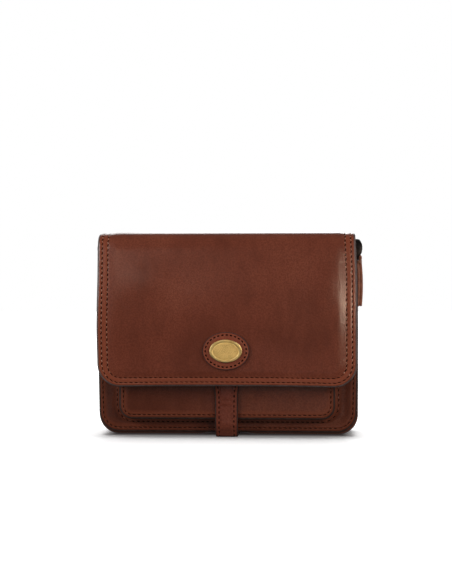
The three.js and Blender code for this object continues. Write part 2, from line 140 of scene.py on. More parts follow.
# Slits at the ends of stitches: half length, half width and turn in upright and in level rows, and heights
SLANTED_SLIT = ((1.45, 0.5, math.radians(22)), (1.6, 0.38, math.radians(7)))
ROUND_SLIT = ((1.15, 0.76, 0), (1.15, 0.76, 0))
SLIT_RIM, SLIT_TOP, SLIT_BOTTOM = 0.09, 0.14, -0.3

# Badge. Plaque from its back over the rim to the field: share of its size, height, material
BADGE_HEIGHT = 72.8
BADGE_SEAT, PLAQUE_GAP = 1.0, 0.05
PATCH_RATIO, PLAQUE_RATIO = 15.85 / 19.65, 9.45 / 13.6
PLAQUE_LEVELS = [
    (0.97, 0.0, 0), (1.0, 0.3, 0), (1.0, 1.45, 0), (0.993, 1.62, 0), (0.98, 1.7, 0), (0.95, 1.73, 0),
    (0.88, 1.74, 0), (0.82, 1.73, 0), (0.805, 1.66, 0), (0.79, 1.4, 1), (0.775, 1.38, 1), (0.755, 1.5, 1),
    (0.72, 1.54, 1), (0.6, 1.56, 1), (0.4, 1.57, 1), (0.2, 1.58, 1),
]
# Snap: shares of its radius and depth
SNAP_LEVELS = [(0.3, 0), (0.9, 0), (1, 0.15), (1, 0.4), (0.85, 0.5), (0.8, 0.9), (0.7, 1), (0.2, 1)]

# Closing tab. Creases across it: height, reach and rise
TAB_STRAP = 9.5
TAB_FOOT_CORNER = 2
TAB_SLANT = {"start": 9, "depth": 4.5, "bend": 14}
TAB_BEND = 4
TAB_HEAD = (19.6, 16)
TAB_NECK, TAB_FLARE = 44, 1.4
TAB_CREASES = [(31, 0.9, -0.22), (28.6, 1.4, 0.3), (26, 0.9, -0.2)]
CREASE_FADE = (3.5, 5.5)

# Loops, their tacks and rings
LOOP_WRAP, LOOP_HUG = 258, 28
LOOP_NECK = 146
LOOP_BOW = {"inside": 1.1, "outside": 1.05}
LOOP_BEND = {"inside": 1, "outside": 3}
LOOP_GAP, LAYER_GAP = 0.3, 0.1
TACK = {"radius": 0.55, "middle": 1.8, "reach": 1.9, "drops": (2.1, 3, 3.9), "sink": 0.25, "rise": 0.5}
RING_WIRE = 1.5
RING_BREADTH = {0: 1.5, 1.6: 1.5, 3: 2.9, 4.5: 3.8, 7.5: 4.5, 10: 4.7, 12.5: 4.4, 15.6: 3.3, 17.1: 2.9}
RING_CLEARANCE = 0.3
RING_SIZE = {"half_width": 11.6, "height": 15.6, "corner": 3}
RING_LEAN = math.radians(2)

# Leather's look: scales of its clouds, streaks, pebbles and pores, shade of the pores, shine and relief
CLOUDS, STREAKS, PEBBLES, PORES = 16, 150, 820, 2100
PORE_SHADE = 0.68
LEATHER_ROUGHNESS = (0.215, 0.245)
LEATHER_SHINE = 0.45
LEATHER_RELIEF = {"Strength": 0.45, "Distance": 0.0003}

# Camera
PHOTO_SIZE = (452, 584)
CAMERA_AZIMUTH = math.radians(3.5)
CAMERA_HEIGHT = 122.4
CAMERA_SIDESTEP = -1.35
CAMERA_DISTANCE = 1250
FOCAL_PIXELS = 1467
SENSOR = 36

# Lights: name, place and aim in metres, width and height in metres, power in watts, colour
NEUTRAL = (1, 1, 1)
LIGHTS = [
    ("key", (-1.38, -0.82, 0.88), (0, 0, 0.09), 0.8, 0.8, 22, NEUTRAL),
    ("fill", (1.38, -0.8, 0.88), (0, 0, 0.09), 0.8, 0.8, 12.4, NEUTRAL),
    ("low_left", (-1.25, -1.0, 0.03), (0, 0, 0.05), 0.5, 0.24, 3, NEUTRAL),
    ("low_right", (1.25, -1.0, 0.03), (0, 0, 0.05), 0.5, 0.24, 4.2, NEUTRAL),
    ("sheen", (-0.47, -1.45, 0.86), (0, 0, 0.12), 0.26, 0.22, 0.6, (1, 0.86, 0.74)),
    ("strip", (0.66, -1.42, 0.55), (0, 0, 0.12), 0.07, 0.1, 1.9, (1, 0.76, 0.55)),
    ("strip_halo", (0.665, -1.43, 0.545), (0, 0, 0.12), 0.14, 0.2, 2.9, (1, 0.78, 0.58)),
    ("gleam", (0.05, -1.5, -0.062), (0.05, 0, 0.04), 0.2, 0.06, 0.08, NEUTRAL),
    ("rear", (-0.4, 1.8, 1.0), (0, 0, 0.09), 1.2, 0.8, 6, NEUTRAL),
    ("back", (0.2, 1.7, 0.45), (0, 0, 0.09), 1.0, 0.6, 6, NEUTRAL),
    ("floor_light", (0, 0.2, 2.0), (0, 0, 0), 1.8, 1.8, 46.5, NEUTRAL),
]
WORLD_LOW, WORLD_TOP = 0.08, 0.13

# Floor and dome. Glow of the floor, painted light that lifts its shadow round the bag, by a distance in
# metres: where it begins and ends, least and most
STAGE_REACH = 8000
FLOOR_DROP = 0.3
FLOOR_WHITE = 0.95
FLOOR_PAINTED_LIGHT = (-0.014, 0.004, 0.01, 0.23)
SIDE_PAINTED_LIGHT = (-0.012, 0.004, 0, 0.26)
FAR_PAINTED_LIGHT = (0.3, 1.2, 0, 1)
DOME_SIDES, DOME_LEVELS, DOME_DROP = 48, 8, 400


def box_mm(node):
    """Lowest and highest corner of a node, in millimetres."""
    low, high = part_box(node)
    return np.array(low) / MM, np.array(high) / MM


FRONT_LOW, FRONT_HIGH = box_mm("front_panel")
BACK_LOW, BACK_HIGH = box_mm("back_panel")
GUSSET_LOW, GUSSET_HIGH = box_mm("gusset")
POCKET_LOW, POCKET_HIGH = box_mm("pocket_front")
STRIP_LOW, STRIP_HIGH = box_mm("pocket_gusset")
TAB_LOW, TAB_HIGH = box_mm("closing_tab")
SNAP_LOW, SNAP_HIGH = box_mm("snap")
LOOP_LOW, LOOP_HIGH = box_mm("strap_loop_right")
FACE = FRONT_LOW[1]
FLAP_HALF = box_mm("flap")[1][0]
PATCH_HALF = box_mm("badge_patch")[1][0]
PLAQUE_HALF = box_mm("badge_plaque")[1][0]
LOOP_HALF = (LOOP_HIGH[1] - LOOP_LOW[1]) / 2


# Curves and tables

def join(*parts):
    """Points from their coordinates."""
    return np.stack(np.broadcast_arrays(*parts), -1)


def apart(points):
    """Coordinates of points."""
    return np.moveaxis(points, -1, 0)


def unit(vectors):
    return vectors / np.linalg.norm(vectors, axis=-1, keepdims=True)


def smooth_step(value, low, high):
    share = np.clip((value - low) / (high - low), 0, 1)
    return share * share * (3 - 2 * share)


def long_step(value, low, high):
    """From 0 to 1 between low and high, steepest at a third of the way, with a long soft end."""
    share = np.clip((value - low) / (high - low), 0, 1)
    return 1 - (1 - share) ** 3 * (1 + 3 * share)


def fade(value, start, end):
    return 1 - smooth_step(value, start, end)


def hump(value, low, full, ebb, end):
    return smooth_step(value, low, full) * fade(value, ebb, end)


def bell(value, centre, width):
    return np.exp(-(((value - centre) / width) ** 2))


def table_value(table, at):
    return np.interp(at, list(table), list(table.values()))


def circle(count):
    """Cosines and sines of angles all round."""
    angle = np.arange(count) * 2 * math.pi / count
    return np.cos(angle), np.sin(angle)


class Route:
    """A line in a plane as close points, read by the distance along it."""

    def __init__(self, points):
        self.points = np.asarray(points, float)
        steps = np.linalg.norm(np.diff(self.points, axis=0), axis=1)
        self.along = np.concatenate([[0], np.cumsum(steps)])
        self.length = self.along[-1]
        self.turn = unit(np.gradient(self.points, axis=0))

    def read(self, values, along):
        return join(*(np.interp(along, self.along, column) for column in values.T))

    def at(self, along):
        return self.read(self.points, along)

    def heading(self, along):
        return unit(self.read(self.turn, along))


def oval(centre, half_width, half_height, start, end, count):
    """Points round part of an ellipse, angles in degrees."""
    angle = np.radians(np.linspace(start, end, count))
    return join(centre[0] + half_width * np.cos(angle), centre[1] + half_height * np.sin(angle))


def arc(centre, radius, start, end, steps=24):
    return oval(centre, radius, radius, start, end, steps + 1)


def straight(start, end, step=1.0):
    count = max(2, int(np.hypot(end[0] - start[0], end[1] - start[1]) / step))
    share = np.linspace(0, 1, count + 1)[:, None]
    return np.asarray(start) * (1 - share) + np.asarray(end) * share


def bowed_line(start, end, bow):
    """A line from start to end, bowed out sideways half way."""
    share = np.linspace(0, 1, 60)[:, None]
    start, end = np.array(start), np.array(end)
    return start + (end - start) * share + np.array([4 * bow, 0]) * share * (1 - share)


def rounded_route(*corners):
    """A route through corners, each (point, radius), with straights between round corners."""
    points = [np.asarray(p, float) for p, _ in corners]
    lines = []
    here = points[0]
    for before, corner, after, (_, radius) in zip(points, points[1:], points[2:], corners[1:]):
        back, ahead = unit(before - corner), unit(after - corner)
        half = math.acos(np.dot(back, ahead)) / 2
        start = corner + back * radius / math.tan(half)
        end = corner + ahead * radius / math.tan(half)
        centre = corner + unit(back + ahead) * radius / math.sin(half)
        first = math.degrees(math.atan2(*(start - centre)[::-1]))
        sweep = math.degrees(math.atan2(*(end - centre)[::-1])) - first
        sweep = (sweep + 180) % 360 - 180
        lines += [straight(here, start)[:-1], arc(centre, radius, first, first + sweep)[:-1]]
        here = end
    lines.append(straight(here, points[-1]))
    return Route(np.concatenate(lines))


def three_sides(half, low, high, radius):
    """Down the left side of a panel, along its base and up the right."""
    return rounded_route(
        ((-half, high), 0), ((-half, low), radius), ((half, low), radius), ((half, high), 0))


def eased(route, reach, step=0.5):
    """A route whose turns begin and end gently, over a reach on both sides."""
    points = route.at(np.arange(0, route.length, step))
    spread = np.arange(-2 * reach, 2 * reach + step / 2, step)
    weights = bell(spread, 0, reach)
    weights /= weights.sum()
    pad = len(spread) // 2
    before = points[0] - (points[1] - points[0]) * np.arange(pad, 0, -1)[:, None]
    after = points[-1] + (points[-1] - points[-2]) * np.arange(1, pad + 1)[:, None]
    padded = np.concatenate([before, points, after])
    return Route(join(*(np.convolve(column, weights, "valid") for column in padded.T)))


# Flat patterns: the outline of a piece of leather before it is bent

class Pattern:
    """Loops of points at any distance in from the edge of a piece, and a field of points inside."""

    def __init__(self, outer, inner, inset, across, along):
        self.outer, self.inner, self.inset = outer, inner, inset
        self.across, self.along = across, along

    def loop(self, distance):
        return self.outer + (self.inner - self.outer) * (distance / self.inset)

    def closed(self, distance):
        loop = self.loop(distance)
        return np.concatenate([loop, loop[:1]])

    def split(self, loop):
        """A loop's four sides: bottom and top left to right, left and right upwards."""
        loop = np.concatenate([loop, loop[:1]])
        n, m = self.across, self.along
        bottom, right = loop[: n + 1], loop[n : n + m + 1]
        top, left = loop[n + m : 2 * n + m + 1][::-1], loop[2 * n + m :][::-1]
        return bottom, right, top, left

    def open_row(self, distance):
        """Down the left side, along the bottom and up the right."""
        bottom, right, _, left = self.split(self.loop(distance))
        return np.concatenate([left[::-1], bottom[1:-1], right])

    def field(self):
        """Rows of points from bottom to top, whose border is the inner loop."""
        bottom, right, top, left = self.split(self.inner)
        u = Route(bottom).along / Route(bottom).length
        v = Route(left).along / Route(left).length
        u, v = u[None, :, None], v[:, None, None]
        rows = (1 - v) * bottom + v * top + (1 - u) * left[:, None] + u * right[:, None]
        low = (1 - u) * bottom[0] + u * bottom[-1]
        high = (1 - u) * top[0] + u * top[-1]
        return rows - (1 - v) * low - v * high


def rounded_loop(half, low, high, low_radius, high_radius, across, along, turn):
    """Points round a rectangle with round corners, anticlockwise from the middle of the lower left one."""
    corners = [
        ((low_radius - half, low + low_radius), low_radius),
        ((half - low_radius, low + low_radius), low_radius),
        ((half - high_radius, high - high_radius), high_radius),
        ((high_radius - half, high - high_radius), high_radius),
    ]
    points = []
    for side, count in enumerate((across, along, across, along)):
        angle = 225 + 90 * side
        first = arc(*corners[side], angle, angle + 45, turn)
        last = arc(*corners[(side + 1) % 4], angle + 45, angle + 90, turn)
        share = np.linspace(0, 1, count + 1)[1:-1, None]
        points += [first, first[-1] * (1 - share) + last[0] * share, last[:-1]]
    return np.concatenate(points)


def panel_pattern(
    half, low, high, low_radius, high_radius, inset, across, along, turn=8, warp=None, low_share=1.0,
):
    """A panel with round corners. Warp moves its points, such as to bow its sides, and low share is how
    far in its low edge's loops lie, next to those of its sides."""
    tight = 1.5
    outer = rounded_loop(half, low, high, low_radius, high_radius, across, along, turn)
    inner = rounded_loop(
        half - inset, low + inset * low_share, high - inset,
        max(low_radius - inset, tight), max(high_radius - inset, tight), across, along, turn)
    if warp:
        outer, inner = warp(outer), warp(inner)
    return Pattern(outer, inner, inset, across + 2 * turn, along + 2 * turn)


def shaped_pattern(bottom, right, top, left, inset, across, along):
    """A pattern from four sides that follow each other anticlockwise."""
    points = []
    for side, count in ((bottom, across), (right, along), (top, across), (left, along)):
        route = Route(side)
        points.append(route.at(np.linspace(0, route.length, count + 1)[:-1]))
    outer = np.concatenate(points)
    ahead = unit(np.roll(outer, -1, 0) - outer)
    normal = join(ahead[:, 1], -ahead[:, 0])
    before = np.roll(normal, 1, 0)
    out = (normal + before) / (1 + (normal * before).sum(1, keepdims=True))
    return Pattern(outer, outer - out * inset, inset, across, along)


# Places: functions that bend a flat point, a across and b along, to where it is on the bag

def flat_place(depth, side=1):
    """Places on an upright panel, as seen from the front, or from behind with side -1."""
    return lambda a, b: join(side * a, depth, b)


def bent_place(route):
    """Places on a sheet that follows a route of depths and heights."""
    return lambda a, b: join(a, *apart(route.at(b)))


def strip_place(route, section, swell=None):
    """Places on a strip that runs along an outline. Swell(x, z, depth) is how far its wall stands out."""
    def place(a, b):
        x, z = apart(route.at(b))
        ahead_x, ahead_z = apart(route.heading(b))
        out, depth = apart(section.at(a + section.length / 2))
        if swell:
            out = out + swell(x, z, depth)
        return join(x + out * ahead_z, depth, z - out * ahead_x)
    return place


def place_with_height(place, flat, height):
    """Points of a bent sheet, raised off it by a height along its normal, and the normals."""
    near = 0.25
    a, b = apart(flat)
    along_a = place(a + near, b) - place(a - near, b)
    along_b = place(a, b + near) - place(a, b - near)
    normal = unit(np.cross(along_a, along_b))
    return place(a, b) + normal * np.asarray(height)[..., None], normal


def no_shape(flat):
    return np.zeros(flat.shape[:-1])


class Seam:
    """Heights by distance in from a sewn edge. The leather rolls up from the edge to a welt, has a groove
    under each row of stitches, and passes over by a step to the height of the field inside."""

    def __init__(
        self, *rows, welt=0.5, roll=2, fall=(5, 11), depth=0.28, width=0.7, field=0.0, step=smooth_step,
    ):
        self.rows, self.welt, self.roll, self.fall = rows, welt, roll, fall
        self.depth, self.width, self.field, self.step = depth, width, field, step

    def height(self, distance):
        share = self.step(distance, *self.fall)
        height = self.welt * (1 - share) + self.field * share
        for row in self.rows:
            height -= self.depth * bell(distance, row, self.width)
        return float(height * smooth_step(distance, EDGE_ROUND, EDGE_ROUND + self.roll))

    def under_row(self, shape=no_shape):
        """Heights of a shaped sheet's surface under a row of stitches."""
        return lambda flat: shape(flat) + self.height(self.rows[0])

    def rings(self, reach):
        """Distances in from the edge that show the seam: close beside each row, wider between."""
        beside = (-1.5, -1, -0.6, -0.3, 0, 0.3, 0.6, 1, 1.5)
        spacing, least = 0.9, 0.22
        found = {row + d for row in self.rows for d in beside}
        found |= set(np.arange(EDGE_PAINT + 0.1, reach, spacing))
        ordered = []
        for distance in sorted(found):
            inside = EDGE_PAINT + 0.2 < distance < reach - 0.3
            if inside and (not ordered or distance - ordered[-1] > least):
                ordered.append(float(distance))
        return ordered


# Meshes

def make_object(name, points, faces, materials, slots=None, border=None):
    """A smooth mesh object from points in millimetres."""
    mesh = bpy.data.meshes.new(name)
    mesh.from_pydata((np.asarray(points) * MM).tolist(), [], [list(map(int, f)) for f in faces])
    for material in materials:
        mesh.materials.append(material)
    if slots is not None:
        mesh.polygons.foreach_set("material_index", np.asarray(slots, np.int32))
    if border is not None:
        layer = mesh.attributes.new("border", "FLOAT", "POINT")
        layer.data.foreach_set("value", np.asarray(border, np.float32))
    mesh.polygons.foreach_set("use_smooth", np.ones(len(mesh.polygons), bool))
    mesh.update()
    piece = bpy.data.objects.new(name, mesh)
    bpy.context.scene.collection.objects.link(piece)
    return piece


def finish_piece(piece, slot, *nodes, body="bag"):
    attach(piece, body)
    if nodes:
        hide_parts(*nodes)


def ring_quads(rings, count, joined=False):
    """Faces between each ring of points and the next, and between the last and the first if joined."""
    quads = []
    for ring in range(rings if joined else rings - 1):
        here, ahead = ring * count, (ring + 1) % rings * count
        for k in range(count):
            after = (k + 1) % count
            quads.append([here + k, here + after, ahead + after, ahead + k])
    return quads


def end_caps(rings, count):
    """Faces that close the last and the first ring."""
    return [[(rings - 1) * count + k for k in range(count)], list(range(count))[::-1]]


def build_turned(name, slot, rings, materials, slots=None):
    """A closed solid from rings of points."""
    size = len(rings), len(rings[0])
    faces = ring_quads(*size) + end_caps(*size)
    finish_piece(make_object(name, np.concatenate(rings), faces, materials, slots), slot, name)


def build_sheet(
    name, slot, pattern, place, thickness, materials, seam, shape=no_shape, pared=no_shape, edge=EDGE_ROUND,
    rings=None,
):
    """One closed piece of leather. Its outside has rings of points parallel to the edge, raised by the
    seam, and shape(flat) raises the whole sheet. The edge is round and painted. Pared(flat) is how much of
    the thickness is taken off the outside, as a share."""
    flats, heights, borders, faces, slots = [], [], [], [], []
    count = 0
    inset = pattern.inset

    def add(flat, height, border):
        nonlocal count
        flat = flat.reshape(-1, 2)
        flats.append(flat)
        heights.append(shape(flat) + height - (height + thickness) * pared(flat))
        borders.append(np.full(len(flat), float(border)))
        count += len(flat)
        return np.arange(count - len(flat), count)

    def add_faces(corners, material):
        quads = np.stack(corners, -1).reshape(-1, 4)
        faces.extend(quads.tolist())
        slots.extend([material] * len(quads))

    def fill(loop, height, material, turn):
        field = pattern.field()[1:-1, 1:-1]
        index = np.pad(add(field, height, inset).reshape(field.shape[:2]), 1)
        index[0], index[:, -1], index[-1], index[:, 0] = pattern.split(loop)
        corners = [index[:-1, :-1], index[:-1, 1:], index[1:, 1:], index[1:, :-1]]
        add_faces(corners[::turn], material)

    # Loops from the field over the edge to the inside: distance in, height, border, and material up to it
    outside = [inset, *reversed(rings or seam.rings(inset)), edge + EDGE_PAINT - EDGE_ROUND]
    levels = [(distance, seam.height(distance), distance, 0) for distance in outside]
    levels.append((edge, seam.height(edge), edge, 1))
    for angle in np.radians(EDGE_ANGLES):
        levels.append((edge * (1 - math.cos(angle)), thickness / 2 * (math.sin(angle) - 1), 0, 1))
    levels += [(edge, -thickness, 0, 1), (inset, -thickness, inset, 2)]
    loops = [add(pattern.loop(distance), height, border) for distance, height, border, _ in levels]
    for before, loop, (*_, material) in zip(loops, loops[1:], levels[1:]):
        add_faces([loop, np.roll(loop, -1), np.roll(before, -1), before], material)
    fill(loops[0], seam.height(inset), 0, 1)
    fill(loops[-1], -thickness, 2, -1)

    points, _ = place_with_height(place, np.concatenate(flats), np.concatenate(heights))
    piece = make_object(name, points, faces, materials, slots, np.concatenate(borders))
    finish_piece(piece, slot, name)


def tube(points, normals, radii, flatten=0.85, sides=6):
    """Vertices of short closed threads along points (threads, stations, 3), and the faces of one thread."""
    threads, stations = points.shape[:2]
    heading = unit(np.gradient(points, axis=1))
    side = unit(np.cross(heading, normals))
    up = np.cross(side, heading)
    cosine, sine = circle(sides)
    ring = side[:, :, None] * cosine[:, None] + up[:, :, None] * sine[:, None] * flatten
    vertices = points[:, :, None] + ring * radii[:, None, None]
    faces = [[a, d, c, b] for a, b, c, d in ring_quads(stations, sides)]
    faces += [cap[::-1] for cap in end_caps(stations, sides)]
    return vertices.reshape(threads, -1, 3), faces


def slits(points, normals, headings, sizes, sides=10):
    """Vertices of a slanted closed slit at each end of a stitch, and the faces of one slit. Each slit is a
    near-black patch just over the leather, painted shade of the stitch hole.
    """
    aside = np.cross(headings, normals)
    half_length, half_width, turn = np.moveaxis(sizes[:, None, :, None], 2, 0)
    turn_cosine, turn_sine = np.cos(turn[:, 0]), np.sin(turn[:, 0])
    long = headings * turn_cosine + aside * turn_sine
    short = aside * turn_cosine - headings * turn_sine
    cosine, sine = circle(sides)
    ring = short[:, None] * cosine[:, None] * half_width + long[:, None] * sine[:, None] * half_length
    ring = points[:, None] + ring + normals[:, None] * SLIT_RIM
    ends = [(points + normals * height)[:, None] for height in (SLIT_TOP, SLIT_BOTTOM)]
    faces = []
    for k in range(sides):
        after = (k + 1) % sides
        faces += [[k, after, sides], [after, k, sides + 1]]
    return np.concatenate([ring, *ends], 1), faces


def build_pile(name, groups, materials):
    """One piece of thread from groups of copies: vertices of each, faces of one, material of each."""
    points, faces, slots = [], [], []
    count = 0
    for vertices, one, chosen in groups:
        for copy, material in zip(vertices, chosen):
            points.append(copy)
            faces += [[v + count for v in face] for face in one]
            slots += [material] * len(one)
            count += len(copy)
    finish_piece(make_object(name, np.concatenate(points), faces, materials, slots), "thread")


def build_stitches(name, rows, place, height, pitch=STITCH, slit=SLANTED_SLIT, proud=PROUD, pale=False):
    """Rows of stitches on a bent sheet. A row is a line of flat points, and height(flat) is the height of
    the leather's surface off the sheet. Proud is how far a thread's middle stands out of it, less in level
    rows. Slit gives the slits of upright and of level rows. With pale, upright rows have the pale thread,
    whose lighter colour is painted glints; the other rows have the shaded thread, its copy darkened as
    painted shade."""
    near = 0.2
    span = np.linspace(-1, 1, STITCH_STATIONS)
    end = np.abs(span) ** 4
    groups = []
    for row in rows:
        route = Route(row)
        number = max(2, round(route.length / pitch))
        step = route.length / number
        ends = np.arange(number + 1) * step
        share = np.linspace(*STITCH_SPAN, STITCH_STATIONS)
        along = ends[:-1, None] + (share + rng.normal(0, ALONG_WANDER, (number, 1))) * step
        slant = STITCH_SLANT + rng.normal(0, SLANT_WANDER, (number, 1))
        heading = route.heading(along)
        aside = join(-heading[..., 1], heading[..., 0])
        flat = route.at(along) + aside * (slant * span)[..., None]
        rise = THREAD_RADIUS * (proud - END_SINK * end - LEVEL_SINK * np.abs(heading[..., 0]))
        surface, normal = place_with_height(place, flat, height(flat) + rise)
        threads = tube(surface, normal, THREAD_RADIUS * (1 - END_THINNING * end))
        upright = np.abs(heading[:, STITCH_STATIONS // 2, 0]) < UPRIGHT
        groups.append((*threads, np.where(pale & upright, 0, 2)))

        flat, heading = route.at(ends), route.heading(ends)
        surface, normal = place_with_height(place, flat, height(flat))
        ahead, _ = place_with_height(place, flat + heading * near, height(flat))
        level = np.abs(heading[:, :1])
        sizes = np.array(slit[0]) * (1 - level) + np.array(slit[1]) * level
        groups.append((*slits(surface, normal, unit(ahead - surface), sizes), [1] * len(ends)))
    build_pile(name, groups, [GLINT_THREAD, SLIT_SHADE, SHADED_THREAD])


# Materials

class Nodes:
    """Short calls for shader nodes of a material or world. A value is plain, or a (node, output) pair."""

    def __init__(self, owner, shader="ShaderNodeBsdfPrincipled", output="ShaderNodeOutputMaterial"):
        owner.use_nodes = True
        self.owner, self.tree = owner, owner.node_tree
        self.tree.nodes.clear()
        self.shader = self.add(shader)
        self.add(output, {"Surface": (self.shader, 0)})

    def put(self, node, inputs):
        """Set or link a node's inputs."""
        for key, value in inputs.items():
            if isinstance(value, tuple) and isinstance(value[0], bpy.types.Node):
                self.tree.links.new(value[0].outputs[value[1]], node.inputs[key])
            else:
                node.inputs[key].default_value = value

    def add(self, kind, inputs=None, **settings):
        node = self.tree.nodes.new(kind)
        for key, value in settings.items():
            setattr(node, key, value)
        self.put(node, inputs or {})
        return node

    def math(self, operation, first, second):
        return self.add("ShaderNodeMath", {0: first, 1: second}, operation=operation), 0

    def mixture(self, first, share, second):
        """The first value by its share and the second by the rest."""
        rest = self.math("MULTIPLY", second, 1 - share)
        return self.math("ADD", self.math("MULTIPLY", first, share), rest)

    def spread(self, value, low, high, to_low, to_high):
        return self.add("ShaderNodeMapRange", {
            "Value": value, "From Min": low, "From Max": high, "To Min": to_low, "To Max": to_high,
        }), 0

    def blend(self, share, first, second):
        return self.add("ShaderNodeMix", {0: share, 6: first, 7: second}, data_type="RGBA"), 2

    def noise(self, scale, detail=3, roughness=0.55, stretch=(1, 1, 1)):
        where = self.add("ShaderNodeTexCoord")
        mapped = self.add("ShaderNodeMapping", {"Vector": (where, "Object"), "Scale": stretch})
        return self.add("ShaderNodeTexNoise", {
            "Vector": (mapped, "Vector"), "Scale": scale, "Detail": detail, "Roughness": roughness,
        }), 0

    def finish(self, inputs):
        """Set or link the shader's own inputs, and give the material or world."""
        self.put(self.shader, inputs)
        return self.owner


def leather_material(name, dark, middle, light, border, band):
    """Polished hide: cloudy colour with faint upright streaks, pores, soft shine, and a paler border as
    wide as the band, that darkens at the painted edge."""
    pore = (*(PORE_SHADE * part for part in dark), 1)
    dark, middle, light, border = ((*colour, 1) for colour in (dark, middle, light, border))
    n = Nodes(bpy.data.materials.new(name))
    clouds = n.noise(CLOUDS, 2, 0.45)
    streaks = n.noise(STREAKS, 2, 0.5, stretch=(1, 1, 0.3))
    pebbles = n.noise(PEBBLES, 2, 0.5)
    pores = n.noise(PORES, 4, 0.6)
    mixed = n.mixture(clouds, 0.78, streaks)
    tone = n.blend(n.spread(mixed, 0.36, 0.5, 0, 1), dark, middle)
    tone = n.blend(n.spread(mixed, 0.5, 0.66, 0, 1), tone, light)
    tone = n.blend(n.spread(pebbles, 0.36, 0.62, 0.5, 0), tone, pore)
    edge = (n.add("ShaderNodeAttribute", attribute_name="border"), "Fac")
    tone = n.blend(n.spread(edge, band - 1.5, band + 1.5, 0.7, 0), tone, border)
    tone = n.blend(n.spread(edge, EDGE_PAINT, EDGE_PAINT + 1.1, 0.7, 0), tone, dark)
    relief = n.add("ShaderNodeBump", {"Height": n.mixture(pores, 0.35, pebbles), **LEATHER_RELIEF})
    return n.finish({
        "Base Color": tone, "Roughness": n.spread(pores, 0.35, 0.65, *LEATHER_ROUGHNESS),
        "Normal": (relief, "Normal"), "Specular IOR Level": LEATHER_SHINE,
    })


def matte_material(name, dark, light, scale, roughness, relief, metallic=0.0, depth=0.0002, shine=0.5):
    """A plain finish with a cloudy tone and a fine uneven surface."""
    n = Nodes(bpy.data.materials.new(name))
    clouds = n.noise(scale, 4)
    fine = n.noise(scale * 12, 3)
    bump = n.add("ShaderNodeBump", {"Height": fine, "Strength": relief, "Distance": depth})
    return n.finish({
        "Base Color": n.blend(n.spread(clouds, 0.35, 0.65, 0, 1), (*dark, 1), (*light, 1)),
        "Roughness": n.spread(fine, 0.3, 0.7, roughness - 0.08, roughness + 0.08),
        "Normal": (bump, "Normal"), "Metallic": metallic, "Specular IOR Level": shine,
    })


FLAP_HIDE = leather_material(
    "flap_hide", (0.102, 0.0236, 0.0116), (0.131, 0.0315, 0.016), (0.158, 0.041, 0.0212),
    (0.18, 0.0438, 0.0205), band=9.5)
# The body's leather is the flap's leather made darker as painted shade, used on the panels, gusset and pocket
SHADED_BODY_HIDE = leather_material(
    "body_hide_painted_shade", (0.07, 0.016, 0.007), (0.093, 0.0227, 0.0106), (0.116, 0.0305, 0.0152),
    (0.122, 0.0298, 0.0134), band=6.5)
TRIM_HIDE = leather_material(
    "trim_hide", (0.0899, 0.0195, 0.0101), (0.1134, 0.0265, 0.0148), (0.1348, 0.0351, 0.0195),
    (0.1391, 0.0342, 0.0182), band=2.8)
PATCH_HIDE = leather_material(
    "patch_hide", (0.1712, 0.0417, 0.0214), (0.2054, 0.0524, 0.0278), (0.2354, 0.0642, 0.0353),
    (0.2033, 0.0503, 0.0246), band=2.2)
# Grey edge paint of the flap and gusset: the edge paint's colour, made paler than the dark edge paint by a
# painted sheen of the round edges
SHEEN_EDGE_PAINT = matte_material("edge_paint_painted_sheen", (0.066, 0.044, 0.04), (0.102, 0.07, 0.064), 300, 0.5, 0.3, shine=0.25)
DARK_PAINT = matte_material(
    "dark_edge_paint", (0.02, 0.011, 0.009), (0.038, 0.021, 0.017), 300, 0.6, 0.3, shine=0.15)
FLESH = matte_material("flesh_side", (0.07, 0.03, 0.018), (0.11, 0.05, 0.03), 220, 0.85, 0.6)
BURNISHED = matte_material("burnished_edge", (0.18, 0.056, 0.028), (0.28, 0.102, 0.056), 260, 0.5, 0.4)
# The pale thread is the thread made lighter as painted glints; the shaded thread is its darker copy, painted
# shade
GLINT_THREAD = matte_material("thread", (0.15, 0.05, 0.024), (0.34, 0.145, 0.078), 700, 0.32, 0.3, shine=0.7)
SHADED_THREAD = matte_material(
    "shaded_thread", (0.07, 0.018, 0.008), (0.13, 0.04, 0.018), 700, 0.5, 0.3, shine=0.2)
# Stitch slits: a near-black patch over each stitch hole, painted shade
SLIT_SHADE = matte_material(
    "stitch_slit_painted_shade", (0.006, 0.0025, 0.0015), (0.014, 0.006, 0.0035), 300, 0.8, 0.2, shine=0.0)
GOLD = matte_material("gold_rim", (0.88, 0.64, 0.24), (0.97, 0.74, 0.32), 160, 0.38, 0.5, 1.0, 0.0004)
GOLD_FIELD = matte_material(
    "gold_field", (0.7, 0.47, 0.16), (0.84, 0.59, 0.22), 190, 0.5, 0.8, 1.0, 0.0004)
DARK_METAL = matte_material("dark_metal", (0.02, 0.016, 0.014), (0.045, 0.036, 0.033), 200, 0.5, 0.1, 1.0)
STEEL = matte_material("snap_steel", (0.42, 0.4, 0.37), (0.56, 0.54, 0.5), 200, 0.35, 0.1, 1.0)
BODY_MATERIALS = [SHADED_BODY_HIDE, DARK_PAINT, FLESH]


# Body and pocket

PLAIN_EDGE = Seam(welt=0)


def bowed(points):
    """The body's outline with its sides bowed out, and drawn in towards top and bottom."""
    x, z = apart(points)
    lean = (z - BODY_MIDDLE) / BODY_MIDDLE
    return join(x * (1 - BODY_BOW * lean * lean / FRONT_HIGH[0]), z)


def back_shape(flat):
    """The soft swelling of the back panel."""
    a, b = apart(flat)
    wide = 1 - (a / BACK_HIGH[0]) ** 2
    return BACK_SWELL["rise"] * wide * bell(b, BACK_SWELL["height"], BACK_SWELL["reach"])


